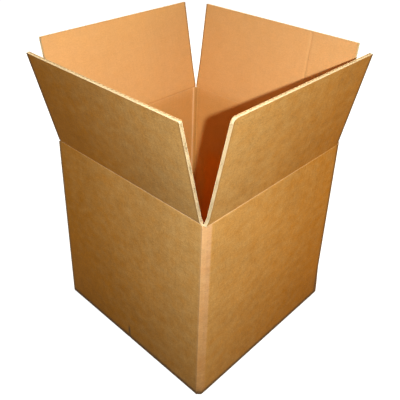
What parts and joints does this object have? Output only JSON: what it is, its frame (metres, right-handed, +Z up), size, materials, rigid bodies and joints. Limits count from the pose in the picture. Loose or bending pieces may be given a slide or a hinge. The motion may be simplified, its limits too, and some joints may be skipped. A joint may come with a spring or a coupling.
{
  "type": "open cardboard box",
  "caption": "Empty square carton folded from corrugated board, bottom closed, with hinged top flaps standing open and leaning outwards.",
  "frame": {"origin": "centre of the base, on the surface the box stands on; the mount base is 2.5 mm along +X from it, on the flat of a bottom flap beside the seam", "axes": "+Z up; the front wall faces -Y and the right wall faces +X"},
  "size_m": [0.3719, 0.3702, 0.4596],
  "materials": {
    "box_body": "matte",
    "front_flap": "matte",
    "right_flap": "matte",
    "back_flap": "matte",
    "left_flap": "matte"
  },
  "bodies": {
    "box": {"box_body": "box_body"},
    "front_flap": {"front_flap": "front_flap"},
    "right_flap": {"right_flap": "right_flap"},
    "back_flap": {"back_flap": "back_flap"},
    "left_flap": {"left_flap": "left_flap"}
  },
  "joints": [
    {"name": "front_flap_fold", "type": "hinge", "parent": "box", "child": "front_flap", "pos_m": [0, -0.15615, 0.3036], "axis": [1, 0, 0], "range_deg": [-104.25, 150.75]},
    {"name": "right_flap_fold", "type": "hinge", "parent": "box", "child": "right_flap", "pos_m": [0.15615, 0, 0.3083], "axis": [0, 1, 0], "range_deg": [-101.14, 153.86]},
    {"name": "back_flap_fold", "type": "hinge", "parent": "box", "child": "back_flap", "pos_m": [0, 0.15615, 0.3036], "axis": [-1, 0, 0], "range_deg": [-97.29, 157.71]},
    {"name": "left_flap_fold", "type": "hinge", "parent": "box", "child": "left_flap", "pos_m": [-0.15615, 0, 0.3083], "axis": [0, -1, 0], "range_deg": [-101.41, 153.59]}
  ]
}
